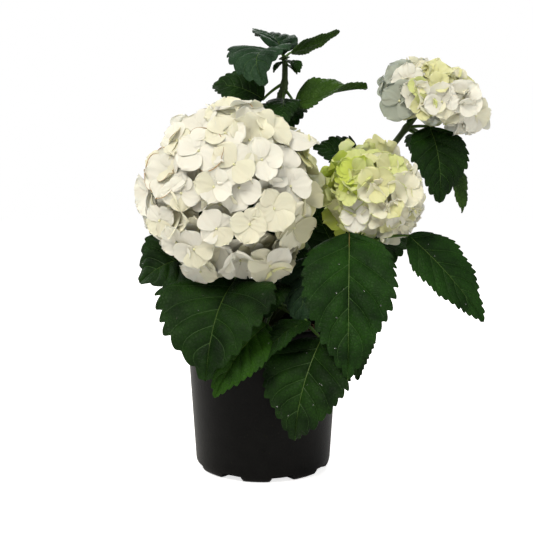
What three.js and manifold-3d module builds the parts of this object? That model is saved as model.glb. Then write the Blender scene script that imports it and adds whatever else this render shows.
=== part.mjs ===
import * as THREE from "three";
import { mergeVertices } from "three/addons/utils/BufferGeometryUtils.js";
import Module from "manifold-3d";

const wasm = await Module();
wasm.setup();

// Millimetres and degrees. The origin is the middle of the pot's flat underside, +Z is up and the front faces -Y.
const clearance = 0.3;

const pot = {
  height: 155, footRadius: 64, heelRadius: 71.5, heelHeight: 9, neckRadius: 80, lipRadius: 84, lipDrop: 9,
  wall: 2.2, floor: 9, notches: 8, notchTurn: 17, notchWidth: 24, notchHeight: 5.5, notchDepth: 7,
};
const soil = { edge: 139, middle: 143 };
const crown = { foot: [0, 0, 143.3], top: [0, 0, 172], footRadius: 10.5, topRadius: 8.5 };

// Each stem runs through these points; its cane ends at leafy, its leafy part at bloom, and the rest is the stalk.
const stems = {
  large: {
    through: [[-3, -3, 148], [-11, -11, 174], [-17, -18, 194], [-22, -26, 212], [-30, -44, 246]],
    radius: [4.4, 3.2], leafy: 0.42, bloom: 0.76,
  },
  medium: {
    through: [[4, -2, 149], [34, -9, 178], [68, -14, 206], [94, -20, 234], [106, -26, 262]],
    radius: [4.2, 2.8], leafy: 0.5, bloom: 0.8,
  },
  upper: {
    through: [[4, 3, 157], [28, 11, 191], [60, 22, 236], [100, 24, 285], [132, 25, 330], [159, 22, 366], [172, 18, 384]],
    radius: [4.4, 2.7], leafy: 0.74, bloom: 0.83,
  },
  top: {
    through: [[0, 0, 160], [2, 14, 220], [8, 23, 300], [15.8, 20, 377], [22, 20, 398], [23, 20, 421], [22, 20, 430]],
    radius: [4.2, 2.9], leafy: 0.47, bloom: 1,
  },
  front: {
    through: [[1, -5, 149], [7, -24, 161], [14, -34, 176], [22, -38, 198]],
    radius: [3.8, 2.8], leafy: 0.36, bloom: 1,
  },
  rear: { through: [[-3, 4, 148], [-11, 26, 161], [-9, 42, 178]], radius: [3.8, 3], leafy: 0.5, bloom: 1 },
  backLeft: {
    through: [[-4, 2, 155], [-18, 22, 194], [-28, 38, 238], [-34, 46, 284], [-38, 52, 322]],
    radius: [4.2, 2.6], leafy: 0.4, bloom: 1,
  },
  backRight: {
    through: [[-1, 5, 157], [9, 32, 190], [30, 46, 226], [40, 56, 260]],
    radius: [4.2, 2.6], leafy: 0.5, bloom: 1,
  },
};

// A leaf: the place on its stem, where the blade begins and ends, its width, and how far it bows up and aside.
const leaves = {
  large: [
    { on: 0.6, base: [-28, -46, 202], tip: [-53, -120, 117], width: 112, rise: 18, sway: 0, roll: 0, fold: 0.36 },
    { on: 0.52, base: [-66, -9, 220], tip: [-125, -33, 198], width: 90, rise: 12, sway: 0, roll: -36 },
  ],
  medium: [
    { on: 0.7, base: [85, -60, 251], tip: [79, -128, 120], width: 84, rise: 16, sway: 0, roll: 0 },
    { on: 0.74, base: [147, -34, 246.5], tip: [222, -48, 160.6], width: 58, rise: 7, sway: 0, roll: 48 },
    { on: 0.56, base: [80, -46, 204], tip: [93, -74, 107], width: 52, rise: 8, sway: 0, roll: 0 },
    { on: 0.56, base: [76, -2, 226], tip: [46, 5, 282], width: 48, rise: 5, sway: 0, roll: -60 },
    { on: 0.54, base: [52, -3, 218], tip: [2, -8, 205], width: 54, rise: 6, sway: 0, roll: -68 },
    { on: 0.7, base: [112, 12, 238], tip: [140, 72, 200], width: 66, rise: 14, sway: 0, roll: 0 },
  ],
  upper: [
    { on: 0.78, base: [176, 24, 357], tip: [184, 4, 278], width: 67, rise: 10, sway: 0, roll: 0 },
    { on: 0.78, base: [196, 38, 322], tip: [213, 26, 266], width: 32, rise: 5, sway: 0, roll: 0 },
    { on: 0.78, base: [172, 46, 350], tip: [196, 88, 292], width: 56, rise: 14, sway: 0, roll: 0 },
  ],
  top: [
    { on: 0.97, base: [21, 11, 431], tip: [2, -41, 395], width: 61, rise: 17, sway: 14, roll: 0 },
    { on: 0.96, base: [29, 20, 434], tip: [81, 34, 458], width: 31, rise: -3, sway: 0, roll: -30 },
    { on: 0.98, base: [20, 26, 434], tip: [-5, 54, 455.5], width: 55, rise: 9, sway: 0, roll: 0 },
    { on: 0.95, base: [26, 11, 424], tip: [37, -8, 411], width: 16, rise: 4, sway: 0, roll: 0 },
    { on: 0.7, base: [0, 26, 386], tip: [-54, 34, 401], width: 52, rise: 8, sway: 0, roll: -50 },
    { on: 0.66, base: [34, 12, 379], tip: [108, 2, 396], width: 34, rise: 5, sway: 0, roll: 52 },
    { on: 0.62, base: [22, 6, 384], tip: [20, -26, 355], width: 32, rise: 8, sway: 0, roll: 0 },
    { on: 0.58, base: [20, 40, 378], tip: [24, 104, 348], width: 56, rise: 14, sway: 0, roll: 0 },
  ],
  front: [
    { on: 0.66, base: [57, -85, 150], tip: [31, -109, 57], width: 83, rise: 16, sway: 0, roll: -24 },
    { on: 0.6, base: [4, -77, 163], tip: [-45, -111, 99], width: 56, rise: 15, sway: 0, roll: -34 },
    { on: 0.72, base: [44, -80, 166], tip: [-4, -114, 126], width: 46, rise: 10, sway: 0, roll: 0 },
    { on: 0.97, base: [14, -46, 199], tip: [4, -80, 170], width: 38, rise: 8, sway: 0, roll: 0 },
    { on: 0.97, base: [52, -44, 227], tip: [37, -74, 157], width: 50, rise: 8, sway: 0, roll: 0 },
  ],
  backLeft: [
    { on: 0.45, base: [-14, 8, 214], tip: [-88, 4, 214], width: 44, rise: 6, sway: 0, roll: -70 },
  ],
  rear: [
    { on: 0.8, base: [-30, 72, 178], tip: [-48, 118, 96], width: 66, rise: 16, sway: 0, roll: 0 },
    { on: 0.95, base: [20, 76, 180], tip: [32, 122, 92], width: 70, rise: 18, sway: 0, roll: 0 },
  ],
};

// One leaf grows by itself from the side of a cane.
const sideLeaf = {
  stem: "upper", on: 0.58, base: [104, 34, 318], tip: [53.4, 32, 336], width: 44, rise: 6, sway: 0, roll: -50,
};

// The leaves at the back lean out from their stems, each by a heading and a droop.
const backLeaves = [
  { stem: "backLeft", on: 0.52, heading: 160, length: 92, droop: -38 },
  { stem: "backLeft", on: 0.52, heading: 92, length: 104, droop: -34 },
  { stem: "backLeft", on: 0.76, heading: 196, length: 76, droop: -24 },
  { stem: "backLeft", on: 0.76, heading: 120, length: 96, droop: -26 },
  { stem: "backLeft", on: 0.97, heading: 158, length: 78, droop: -12 },
  { stem: "backLeft", on: 0.97, heading: 62, length: 84, droop: -10 },
  { stem: "backRight", on: 0.7, heading: 62, length: 100, droop: -36 },
  { stem: "backRight", on: 0.7, heading: 12, length: 92, droop: -34 },
  { stem: "backRight", on: 0.97, heading: 100, length: 84, droop: -22 },
  { stem: "backRight", on: 0.97, heading: 34, length: 78, droop: -16 },
];
const backLeaf = { petiole: 22, petiolePitch: 26, slenderness: 0.66, rise: 15 };

const leaf = {
  thickness: 1.6, across: 2, along: 7, fold: 0.2, droop: 0.08, fullest: 0.72, stalkSteps: 2, stalkFoot: 2.1, stalkEnd: 1.4,
};

// A bloom: florets spread evenly over an egg-shaped head, each on its own stalk from the core.
const blooms = {
  large: { middle: [-32, -56, 292], radii: [83, 66, 86], florets: 44, spread: 156, floret: 25, lean: [0, 0], seed: 11 },
  medium: { middle: [111, -32, 291], radii: [48, 42, 43], florets: 28, spread: 150, floret: 17, lean: [0, 0], seed: 5 },
  upper: { middle: [177, 15, 386], radii: [55, 48, 34], florets: 25, spread: 108, floret: 18.5, lean: [0, 15], seed: 23 },
};
const floret = { thickness: 1.4, notch: 0.76, cup: 0.16, tilt: 20, push: 0.08, core: 0.8 };

const finishes = {
  blackPlastic: { color: 0x1b1b1c, roughness: 0.55, metalness: 0 },
  pottingMix: { color: 0x3b2a1d, roughness: 1, metalness: 0 },
  woodyStem: { color: 0x5f5138, roughness: 0.85, metalness: 0 },
  greenStem: { color: 0x4c5a2b, roughness: 0.6, metalness: 0 },
  leafGreen: { color: 0x24401f, roughness: 0.6, metalness: 0 },
  whitePetal: { color: 0xf0eedf, roughness: 0.75, metalness: 0 },
};

const group = new THREE.Group();
const vector = (p) => new THREE.Vector3(...p);
const mix = THREE.MathUtils.lerp;
const radians = THREE.MathUtils.degToRad;
const headed = (heading, pitch) =>
  new THREE.Vector3(
    Math.cos(radians(heading)) * Math.cos(radians(pitch)),
    Math.sin(radians(heading)) * Math.cos(radians(pitch)),
    Math.sin(radians(pitch)),
  );

// A repeatable run of numbers from 0 to 1.
function numbersFrom(seed) {
  let state = seed;
  return () => {
    state = (Math.imul(state, 1664525) + 1013904223) >>> 0;
    return state / 4294967296;
  };
}

// The geometry as a closed solid, with each vertex first moved by the function.
function solidOf(geometry, move) {
  const bare = geometry.clone();
  bare.deleteAttribute("normal");
  bare.deleteAttribute("uv");
  const spots = bare.getAttribute("position");
  const spot = new THREE.Vector3();
  if (move) {
    for (let i = 0; i < spots.count; i += 1) {
      const moved = move(spot.fromBufferAttribute(spots, i));
      spots.setXYZ(i, moved.x, moved.y, moved.z);
    }
  }
  const merged = mergeVertices(bare, 1e-4);
  return new wasm.Manifold(
    new wasm.Mesh({
      numProp: 3,
      vertProperties: merged.getAttribute("position").array,
      triVerts: new Uint32Array(merged.index.array),
    }),
  );
}

function addNode(name, solid, finish) {
  const { vertProperties, triVerts } = solid.getMesh();
  const geometry = new THREE.BufferGeometry();
  geometry.setAttribute("position", new THREE.BufferAttribute(new Float32Array(vertProperties), 3));
  geometry.setIndex(new THREE.BufferAttribute(new Uint32Array(triVerts), 1));
  geometry.computeVertexNormals();
  const mesh = new THREE.Mesh(geometry, new THREE.MeshStandardMaterial(finishes[finish]));
  mesh.name = name;
  group.add(mesh);
}

// A round limb along part of a curve, thinner from radii[0] to radii[1], with the radius grown by extra.
function limb(curve, from, to, radii, sides, steps, extra = 0) {
  const rings = [];
  let side = new THREE.Vector3(0.36, 0.8, 0.48);
  for (let i = 0; i <= steps; i += 1) {
    const t = mix(from, to, i / steps);
    const forward = curve.getTangent(t);
    side = side.clone().addScaledVector(forward, -forward.dot(side)).normalize();
    rings.push({ at: curve.getPoint(t), side, over: forward.clone().cross(side), radius: mix(...radii, t) + extra });
  }
  return solidOf(new THREE.CylinderGeometry(1, 1, 1, sides, steps), (p) => {
    const ring = rings[Math.round((p.y + 0.5) * steps)];
    return ring.at.clone().addScaledVector(ring.over, p.x * ring.radius).addScaledVector(ring.side, p.z * ring.radius);
  });
}

// How wide the blade is at a place along it, as a share of its full width.
const outline = (u) => Math.sin(Math.PI * u ** leaf.fullest) ** 0.85 * (1.08 - 0.24 * u);

// A leaf: a stalk out of the middle of the stem, then a blade bowed to its tip and creased along the midrib.
function leafOn(curve, { on, base, tip, width, rise, sway, roll, fold = leaf.fold }) {
  const foot = curve.getPoint(on);
  const start = vector(base);
  const chord = vector(tip).sub(start);
  const length = chord.length();
  const forward = chord.clone().normalize();
  const level = new THREE.Vector3(forward.y, -forward.x, 0).normalize();
  const aside = level.clone().applyAxisAngle(forward, radians(roll));
  const up = aside.clone().cross(forward);
  const bow = foot.clone().lerp(start, 0.6).add(new THREE.Vector3(0, 0, 0.12 * foot.distanceTo(start)));
  const stalk = new THREE.QuadraticBezierCurve3(foot, bow, start);
  const bend = (u) => 4 * u * (1 - u);
  const steps = leaf.stalkSteps + leaf.along;
  return solidOf(new THREE.BoxGeometry(1, 1, 1, leaf.across, steps, 1), (p) => {
    const step = Math.round((p.y + 0.5) * steps) - leaf.stalkSteps;
    const across = 2 * p.x;
    if (step <= 0) {
      const t = 1 + step / leaf.stalkSteps;
      const along = stalk.getTangent(t);
      const right = aside.clone().addScaledVector(along, -along.dot(aside)).normalize();
      const radius = mix(leaf.stalkFoot, leaf.stalkEnd, t);
      return stalk.getPoint(t).addScaledVector(right, across * radius)
        .addScaledVector(right.clone().cross(along), 2 * p.z * radius);
    }
    const u = step / leaf.along;
    const half = Math.max(0.7, (width / 2) * outline(u));
    const slope = 4 * (1 - 2 * u);
    const along = forward.clone().addScaledVector(up, (slope * rise) / length);
    along.addScaledVector(level, (slope * sway) / length).normalize();
    const right = aside.clone().addScaledVector(along, -along.dot(aside)).normalize();
    const lift = half * (fold * Math.abs(across) - leaf.droop * across ** 2) + p.z * leaf.thickness;
    return start.clone().addScaledVector(chord, u).addScaledVector(up, bend(u) * rise)
      .addScaledVector(level, bend(u) * sway).addScaledVector(right, across * half)
      .addScaledVector(right.clone().cross(along), lift);
  });
}

// A back leaf's blade, placed from the stem by its heading and droop.
function leaningOut(curve, { on, heading, length, droop }) {
  const base = curve.getPoint(on).addScaledVector(headed(heading, backLeaf.petiolePitch), backLeaf.petiole);
  const tip = base.clone().addScaledVector(headed(heading, droop), length);
  const width = length * backLeaf.slenderness;
  return { on, base: base.toArray(), tip: tip.toArray(), width, rise: backLeaf.rise, sway: 0, roll: 0 };
}

// One floret: four broad lobes, a little cupped, square to the direction given, on a back that narrows to a stalk.
function floretAt(at, outward, radius, spin, depth) {
  const turn = new THREE.Quaternion().setFromUnitVectors(new THREE.Vector3(0, 1, 0), outward);
  return solidOf(new THREE.CylinderGeometry(1, 1, floret.thickness, 8, 1), (p) => {
    const angle = Math.atan2(p.z, p.x);
    const lobed = Math.round((angle * 4) / Math.PI + 8) % 2 === 0 ? 1 : floret.notch;
    const inMiddle = Math.hypot(p.x, p.z) < 0.5;
    const out = inMiddle ? 0 : radius * lobed;
    const middleLevel = p.y > 0 ? p.y - 0.2 * floret.cup * radius : -depth;
    const level = inMiddle ? middleLevel : p.y + 0.6 * floret.cup * out;
    return new THREE.Vector3(Math.cos(angle + spin) * out, level, Math.sin(angle + spin) * out)
      .applyQuaternion(turn).add(at);
  });
}

function bloomHead({ middle, radii, florets, spread, floret: size, lean, seed }, stem) {
  const random = numbersFrom(seed);
  const centre = vector(middle);
  const span = vector(radii);
  const leaning = new THREE.Quaternion().setFromEuler(new THREE.Euler(radians(lean[0]), radians(lean[1]), 0));
  const onHead = (direction, share) =>
    direction.clone().multiply(span).multiplyScalar(share).applyQuaternion(leaning).add(centre);
  const pieces = [stem, solidOf(new THREE.IcosahedronGeometry(1, 1), (p) => onHead(p, floret.core))];
  for (let i = 0; i < florets; i += 1) {
    const height = 1 - ((i + 0.5) / florets) * (1 - Math.cos(radians(spread)));
    const ring = Math.sqrt(1 - height ** 2);
    const turn = i * 2.39996 + seed;
    const direction = new THREE.Vector3(Math.cos(turn) * ring, Math.sin(turn) * ring, height);
    const [sideways, upward, spin, deep, big] = [random(), random(), random(), random(), random()];
    const at = onHead(direction, 1 - floret.push * deep);
    const outward = direction.clone().divide(span).applyQuaternion(leaning).normalize();
    outward.applyAxisAngle(new THREE.Vector3(0, 0, 1), radians(floret.tilt) * (2 * sideways - 1));
    outward.applyAxisAngle(new THREE.Vector3(1, 0, 0), radians(floret.tilt) * (2 * upward - 1));
    const depth = at.distanceTo(onHead(direction, floret.core * 0.92));
    pieces.push(floretAt(at, outward, size * (0.86 + 0.26 * big), spin * 2 * Math.PI, depth));
  }
  return wasm.Manifold.union(pieces);
}

// The pot: a tapered wall under a turned-down lip, with a notched foot.
const outerWall = [
  [0, 0], [pot.footRadius, 0], [pot.heelRadius - 2, 2.5], [pot.heelRadius, pot.heelHeight],
  [pot.neckRadius, pot.height - pot.lipDrop], [pot.lipRadius, pot.height - pot.lipDrop + 1], [pot.lipRadius, pot.height - 1],
  [pot.lipRadius - 1, pot.height], [pot.neckRadius - pot.wall, pot.height],
];
const innerWall = [[pot.neckRadius - pot.wall, pot.height], [pot.heelRadius - pot.wall, pot.floor], [0, pot.floor]];
const ringed = (profile, sides) =>
  solidOf(new THREE.LatheGeometry(profile.map(([x, y]) => new THREE.Vector2(x, y)), sides), (p) => new THREE.Vector3(p.x, -p.z, p.y));
let potSolid = ringed([...outerWall, ...innerWall.slice(1)], 48);
for (let i = 0; i < pot.notches; i += 1) {
  const notch = new THREE.BoxGeometry(pot.notchDepth * 2, pot.notchWidth, pot.notchHeight * 2);
  notch.translate(pot.heelRadius, 0, 0);
  notch.rotateZ(radians(pot.notchTurn + (i * 360) / pot.notches));
  potSolid = potSolid.subtract(solidOf(notch));
}
addNode("pot", potSolid, "blackPlastic");

const wallAt = (z) =>
  mix(pot.heelRadius, pot.neckRadius, (z - pot.floor) / (pot.height - pot.floor)) - pot.wall - clearance * 1.4;
addNode(
  "potting_soil",
  ringed([[0, pot.floor + clearance], [wallAt(pot.floor) - 0.3, pot.floor + clearance], [wallAt(soil.edge), soil.edge],
    [wallAt(soil.edge) * 0.55, soil.middle - 1], [crown.footRadius + 2, soil.middle], [0, soil.middle]], 48),
  "pottingMix",
);

const crownCurve = new THREE.LineCurve3(vector(crown.foot), vector(crown.top));
addNode("crown", limb(crownCurve, 0, 1, [crown.footRadius, crown.topRadius], 12, 3), "woodyStem");
const crownRoom = limb(crownCurve, -0.02, 1.02, [crown.footRadius, crown.topRadius], 12, 3, clearance + 0.1);

for (const [name, stem] of Object.entries(stems)) {
  const curve = new THREE.CatmullRomCurve3(stem.through.map(vector), false, "catmullrom", 0.5);
  const gap = clearance / curve.getLength() / 2;
  const part = (from, to, sides = 7, extra = 0) =>
    limb(curve, from, to, stem.radius, sides, Math.ceil((to - from) * 14), extra);
  addNode(`cane_${name}`, part(0, stem.leafy - gap).subtract(crownRoom), "greenStem");
  const back = backLeaves.filter((row) => row.stem === name).map((row) => leaningOut(curve, row));
  const blades = [...(leaves[name] ?? []), ...back].map((row) => leafOn(curve, row));
  const end = blooms[name] ? stem.bloom - gap : 1;
  addNode(`leaves_${name}`, wasm.Manifold.union([part(stem.leafy + gap, end), ...blades]), "leafGreen");
  if (blooms[name]) addNode(`bloom_${name}`, bloomHead(blooms[name], part(stem.bloom + gap, 1, 6)), "whitePetal");
  if (name === sideLeaf.stem)
    addNode("leaves_middle", leafOn(curve, sideLeaf).subtract(part(0, stem.leafy, 7, clearance)), "leafGreen");
}

export default group;
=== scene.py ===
import math

import bpy
import numpy as np
from mathutils import Euler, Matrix, Quaternion, Vector, noise


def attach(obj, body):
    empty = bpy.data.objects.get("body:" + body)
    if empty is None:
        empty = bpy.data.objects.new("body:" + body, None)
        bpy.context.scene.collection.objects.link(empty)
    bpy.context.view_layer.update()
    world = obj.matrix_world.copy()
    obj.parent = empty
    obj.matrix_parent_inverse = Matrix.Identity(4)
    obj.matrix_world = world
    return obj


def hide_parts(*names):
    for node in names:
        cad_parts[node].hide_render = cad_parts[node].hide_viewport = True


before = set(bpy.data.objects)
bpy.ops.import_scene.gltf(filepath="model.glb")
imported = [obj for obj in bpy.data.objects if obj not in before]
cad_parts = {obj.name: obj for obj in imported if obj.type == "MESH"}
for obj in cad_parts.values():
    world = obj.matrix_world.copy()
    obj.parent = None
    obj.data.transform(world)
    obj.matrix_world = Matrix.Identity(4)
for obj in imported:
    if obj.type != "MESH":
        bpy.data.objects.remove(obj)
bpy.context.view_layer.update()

millimetre = 0.001

# The plant grows by the same rule as its solids, in millimetres and degrees; only four leaves' widths differ a little.
stems = {
    "large": {"through": [(-3, -3, 148), (-11, -11, 174), (-17, -18, 194), (-22, -26, 212), (-30, -44, 246)],
              "radius": (4.4, 3.2)},
    "medium": {"through": [(4, -2, 149), (34, -9, 178), (68, -14, 206), (94, -20, 234), (106, -26, 262)],
               "radius": (4.2, 2.8)},
    "upper": {"through": [(4, 3, 157), (28, 11, 191), (60, 22, 236), (100, 24, 285), (132, 25, 330), (159, 22, 366),
                          (172, 18, 384)],
              "radius": (4.4, 2.7)},
    "top": {"through": [(0, 0, 160), (2, 14, 220), (8, 23, 300), (15.8, 20, 377), (22, 20, 398), (23, 20, 421),
                        (22, 20, 430)],
            "radius": (4.2, 2.9)},
    "front": {"through": [(1, -5, 149), (7, -24, 161), (14, -34, 176), (22, -38, 198)], "radius": (3.8, 2.8)},
    "rear": {"through": [(-3, 4, 148), (-11, 26, 161), (-9, 42, 178)], "radius": (3.8, 3.0)},
    "backLeft": {"through": [(-4, 2, 155), (-18, 22, 194), (-28, 38, 238), (-34, 46, 284), (-38, 52, 322)],
                 "radius": (4.2, 2.6)},
    "backRight": {"through": [(-1, 5, 157), (9, 32, 190), (30, 46, 226), (40, 56, 260)], "radius": (4.2, 2.6)},
}


# A leaf: its place on the stem, where its blade begins and ends, its width, how far it bows up, and its habits. Twist
# turns it on its midrib towards the tip, in degrees; blunt takes the point off; drops of water may lie on it.
def leafRow(on, base, tip, width, rise, tint="mature", **habits):
    usual = {"sway": 0, "roll": 0, "pitch": 9.5, "fold": 0.2, "twist": 0, "blunt": 0, "drops": 0}
    return {**usual, "on": on, "base": np.array(base, float), "tip": np.array(tip, float), "width": width,
            "rise": rise, "tint": tint, **habits}


leaves = {
    "large": [
        leafRow(0.6, (-28, -46, 202), (-53, -120, 117), 112, 18, "shaded", pitch=13, fold=0.36, drops=4),
        leafRow(0.52, (-66, -9, 220), (-125, -33, 198), 90, 12, "shaded", roll=-36, drops=4),
    ],
    "medium": [
        leafRow(0.7, (85, -60, 251), (79, -128, 120), 84, 16, pitch=12, drops=7),
        leafRow(0.74, (147, -34, 246.5), (222, -48, 160.6), 58, 7, roll=48, drops=3),
        leafRow(0.56, (80, -46, 204), (93, -74, 107), 52, 8, "shaded", pitch=6.5),
        leafRow(0.56, (76, -2, 226), (46, 5, 282), 48, 5, "shaded", roll=-60, pitch=8),
        leafRow(0.54, (52, -3, 218), (2, -8, 205), 54, 6, "shaded", roll=-68, pitch=9),
        leafRow(0.7, (112, 12, 238), (140, 72, 200), 66, 14),
    ],
    "upper": [
        leafRow(0.78, (176, 24, 357), (184, 4, 278), 67, 10, "shaded"),
        leafRow(0.78, (196, 38, 322), (213, 26, 266), 42, 5, "young", pitch=9),
        leafRow(0.78, (172, 46, 350), (196, 88, 292), 56, 14),
    ],
    "top": [
        leafRow(0.97, (21, 11, 431), (2, -41, 395), 66, 17, "cool", sway=14, pitch=9),
        leafRow(0.96, (29, 20, 434), (81, 34, 458), 25, -3, "young", roll=-30, pitch=6.5, blunt=0.8),
        leafRow(0.98, (20, 26, 434), (-5, 54, 455.5), 55, 9, "cool", pitch=7.5, blunt=0.6),
        leafRow(0.95, (26, 11, 424), (37, -8, 411), 16, 4, "shaded", pitch=7),
        leafRow(0.7, (0, 26, 386), (-54, 34, 401), 52, 8, "shaded", roll=-50, pitch=8),
        leafRow(0.66, (34, 12, 379), (108, 2, 396), 40, 5, "young", roll=52, pitch=8, fold=0.5, twist=90, blunt=0.9),
        leafRow(0.62, (22, 6, 384), (20, -26, 355), 32, 8, "shaded", pitch=8),
        leafRow(0.58, (20, 40, 378), (24, 104, 348), 56, 14),
    ],
    "front": [
        leafRow(0.66, (57, -85, 150), (31, -109, 57), 83, 16, "shaded", roll=-24, pitch=9, drops=8),
        leafRow(0.6, (4, -77, 163), (-45, -111, 99), 56, 15, "fresh", roll=-34, pitch=8, drops=2),
        leafRow(0.72, (44, -80, 166), (-4, -114, 126), 46, 10, "shaded", pitch=8),
        leafRow(0.97, (14, -46, 199), (4, -80, 170), 38, 8, "shaded", pitch=8),
        leafRow(0.97, (52, -44, 227), (37, -74, 157), 50, 8, "cool", pitch=8.5),
    ],
    "backLeft": [
        leafRow(0.45, (-14, 8, 214), (-88, 4, 214), 44, 6, "shaded", roll=-70, pitch=9),
    ],
    "rear": [
        leafRow(0.8, (-30, 72, 178), (-48, 118, 96), 66, 16),
        leafRow(0.95, (20, 76, 180), (32, 122, 92), 70, 18, "shaded"),
    ],
    "backRight": [],
}
sideLeaf = {"stem": "upper", "row": leafRow(0.58, (104, 34, 318), (53.4, 32, 336), 44, 6, "shaded", roll=-50)}

# Young leaves and bracts, too small to be solids of their own, sit in the forks.
youngLeaves = {
    "large": [leafRow(0.5, (2, -26, 207), (36, -42, 181), 36, 4, "shaded", pitch=7)],
    "top": [leafRow(0.93, (20, 16, 424), (11, 4, 412), 8, 2, "young", pitch=5),
            leafRow(0.86, (27, 16, 420), (35, 2, 410), 7, 2, "young", pitch=5)],
    "upper": [leafRow(0.9, (161, 14, 372), (150, 4, 358), 9, 2, "young", pitch=5)],
}
# The first large leaf flushes brown where its stalk joins.
ruddyLeaf = {"row": ("medium", 0), "reach": 0.16, "radius": 1.1}

# The leaves at the back lean out from their stems by a heading and a droop.
backLeaves = [
    ("backLeft", 0.52, 160, 92, -38, "mature"), ("backLeft", 0.52, 92, 104, -34, "shaded"),
    ("backLeft", 0.76, 196, 76, -24, "mature"), ("backLeft", 0.76, 120, 96, -26, "mature"),
    ("backLeft", 0.97, 158, 78, -12, "fresh"), ("backLeft", 0.97, 62, 84, -10, "mature"),
    ("backRight", 0.7, 62, 100, -36, "mature"), ("backRight", 0.7, 12, 92, -34, "shaded"),
    ("backRight", 0.97, 100, 84, -22, "mature"), ("backRight", 0.97, 34, 78, -16, "cool"),
]
backLeaf = {"petiole": 22, "petiolePitch": 26, "slenderness": 0.66, "rise": 15}


# A floret that faces the front, by its place across and up from its head's middle and the turn of its first sepal.
def frontFloret(across, up, size, turn, tints=("white", "ivory"), lean=0.08, cup=0.05, rim=None, face=(0, -1, 0.1),
                raised=0.04):
    return {"place": (across, up), "size": size, "turn": turn, "tints": tints, "rim": rim, "face": face,
            "raised": raised,
            "habit": {"lean": (lean, lean + 0.06), "bend": (-0.16, 0.0), "cup": (cup - 0.08, cup + 0.12),
                      "ruffle": 0.055, "fold": (-0.1, 0.18), "closed": 0.0}}


frontFlorets = {
    "large": [
        frontFloret(57, 6, 20, 100), frontFloret(-42, 0, 19, 85), frontFloret(6, 26, 22, 50, lean=0.15),
        frontFloret(-26, 38, 25, 60, rim="withered", face=(-0.2, -0.8, 0.5)),
        frontFloret(37, -66, 24, 60, ("ivory", "white"), face=(0, -1, -0.3)),
        frontFloret(-32, -52, 21, 100, face=(-0.1, -1, -0.2)), frontFloret(20, -28, 18, 70, ("ivory", "white"), 0.3),
        frontFloret(-10, -32, 19, 40), frontFloret(42, -14, 22, 110, ("ivory", "white"), 0.25),
        frontFloret(-2, 54, 20, 30, face=(0, -0.8, 0.6)), frontFloret(-12, 6, 18, 75, lean=0.35),
        frontFloret(31, 30, 20, 20, lean=0.25), frontFloret(3, 76, 24, 10, rim="withered", face=(0, -1.2, 0.3)),
        # This floret on the shaded lower right takes a painted-shade tint.
        frontFloret(60, -32, 24, 80, ("paintedShadeWarm", "ivory"), 0.0, face=(0.3, -0.6, -0.4)),
        frontFloret(41, 58, 21, 40, lean=0.2, face=(0.4, -0.8, 0.5)),
        frontFloret(-50, 50, 19, 15, ("ivory", "white"), 0.2, face=(-0.3, -0.8, 0.5)),
        frontFloret(-27, -74, 20, 60, lean=0.05, face=(-0.1, -1, -0.4), raised=0.06),
        frontFloret(-48, -46, 18, 20, face=(-0.3, -1, -0.3)), frontFloret(-64, -26, 18, 30, face=(-0.2, -1, 0)),
        frontFloret(-66, 26, 20, 70, rim="withered", face=(-0.2, -1, 0.2)),
    ],
    "medium": [
        frontFloret(-21, -22, 17, 95, ("white", "white"), rim="lime", face=(-0.1, -1, 0.6), raised=0.12),
        frontFloret(-4, 6, 19, 30, ("cream", "ivory"), 0.5, 0.5, rim="lime"),
        frontFloret(25, 3, 19, 60, ("ivory", "cream"), 0.45, 0.4),
        frontFloret(30, -27, 16, 20, ("cream", "ivory"), 0.1),
        frontFloret(-24, 20, 14, 45, ("pale", "lime"), 0.7, 0.4, face=(0, -1.5, 0)),
        frontFloret(-29, 0, 13, 20, ("pale", "lime"), 0.5, 0.4, face=(-0.2, -1.2, 0.2)),
        frontFloret(-24, 33, 13, 70, ("pale", "cream"), 0.4, 0.3, face=(-0.3, -1, 0.5)),
        frontFloret(14, 25, 16, 75, ("cream", "pale"), 0.5, 0.4),
    ],
    "upper": [
        # This floret takes the grey painted-shade tint.
        frontFloret(-41, -4, 22, 50, ("paintedShadeGrey", "paintedShadeGrey"), 0.0, face=(-0.2, -2.5, -0.3), raised=0.1),
        frontFloret(2, -6, 18, 100, lean=0.25, face=(0, -1.5, 0)),
        frontFloret(25, -2, 20, 45, lean=0.3, cup=0.3, face=(0.1, -1.5, 0)),
        frontFloret(-22, 9, 11, 75, ("pale", "cream"), 0.6, 0.4, face=(0, -2, 0.2)),
        frontFloret(42, -18, 18, 80, ("ivory", "white"), 0.2, 0.3, face=(0.3, -1.5, -0.3)),
        frontFloret(-18, -9, 14, 10, ("cream", "pale"), 0.4, face=(0, -1.5, 0)),
        frontFloret(-2, 13, 12, 30, ("cream", "pale"), 0.5, 0.4, face=(0, -1.5, 0.2)),
        frontFloret(32, 14, 17, 30, ("ivory", "cream"), 0.2, face=(0.2, -1.2, 0.5)),
    ],
}
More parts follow.
